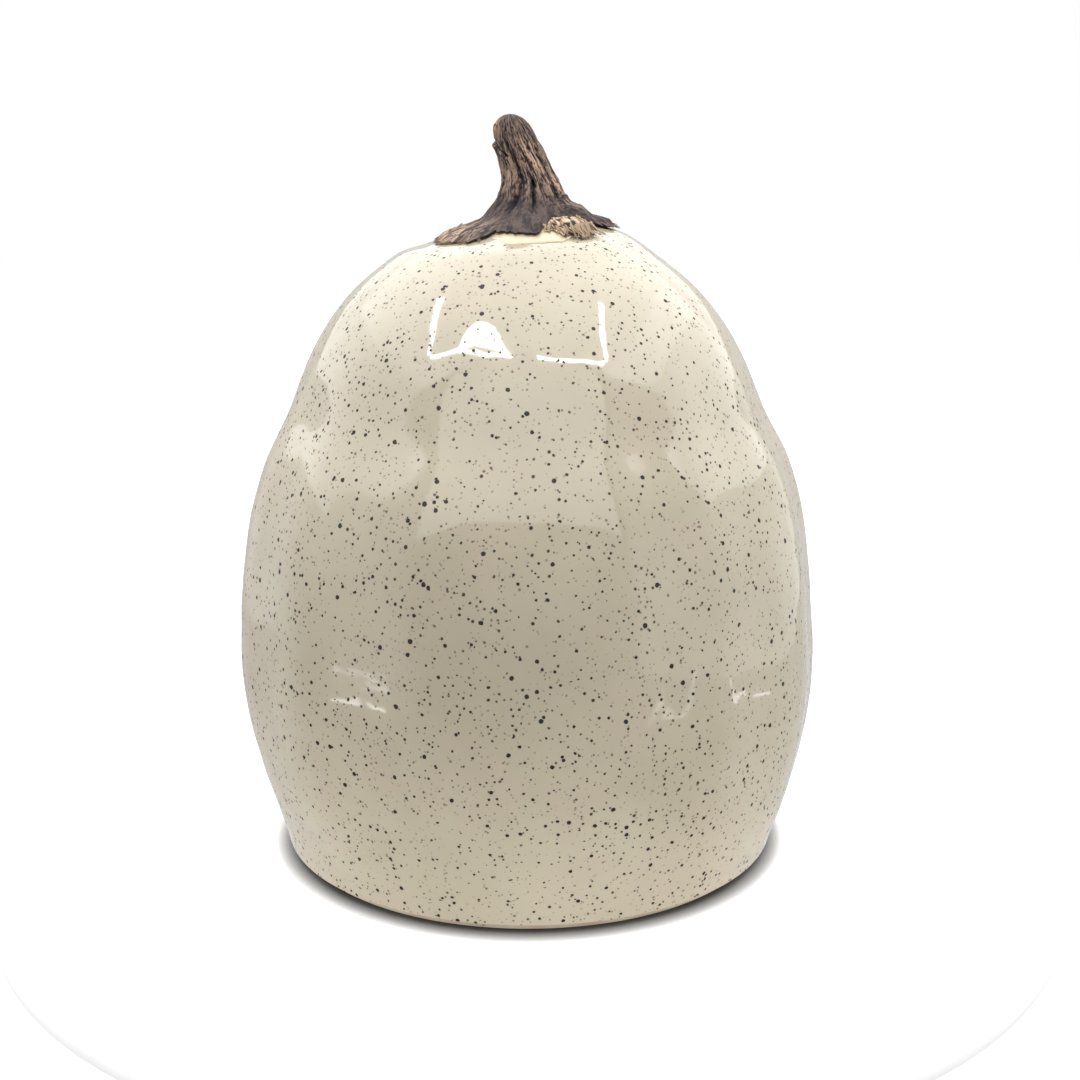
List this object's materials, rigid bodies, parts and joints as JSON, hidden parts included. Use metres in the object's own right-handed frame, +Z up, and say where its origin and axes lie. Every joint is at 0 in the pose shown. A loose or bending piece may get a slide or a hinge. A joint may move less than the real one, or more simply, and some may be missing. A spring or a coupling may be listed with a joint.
{
  "type": "ceramic pumpkin figure",
  "caption": "Tall, closed ceramic pumpkin with shallow pressed ribs, a glossy speckled cream glaze, a bare bevelled foot and a dried natural stem fixed on its crown.",
  "frame": {"origin": "on the standing face, under the middle of the pot", "axes": "+Z up from the foot to the stem, -Y towards the front, +X to the front's right"},
  "size_m": [0.1341, 0.1339, 0.1684],
  "materials": {
    "bare_clay": "matt, unglazed",
    "speckled_glaze": "glossy cream with brown iron specks",
    "clear_adhesive": "cured, slightly cloudy",
    "dry_flesh": "matt, fibrous",
    "stem_bark": "matt, grooved, dry"
  },
  "bodies": {
    "root": {"stoneware_body": "bare_clay", "glaze_coat": "speckled_glaze", "stem_adhesive": "clear_adhesive", "stem_flesh": "dry_flesh", "dried_stem": "stem_bark"}
  },
  "joints": []
}
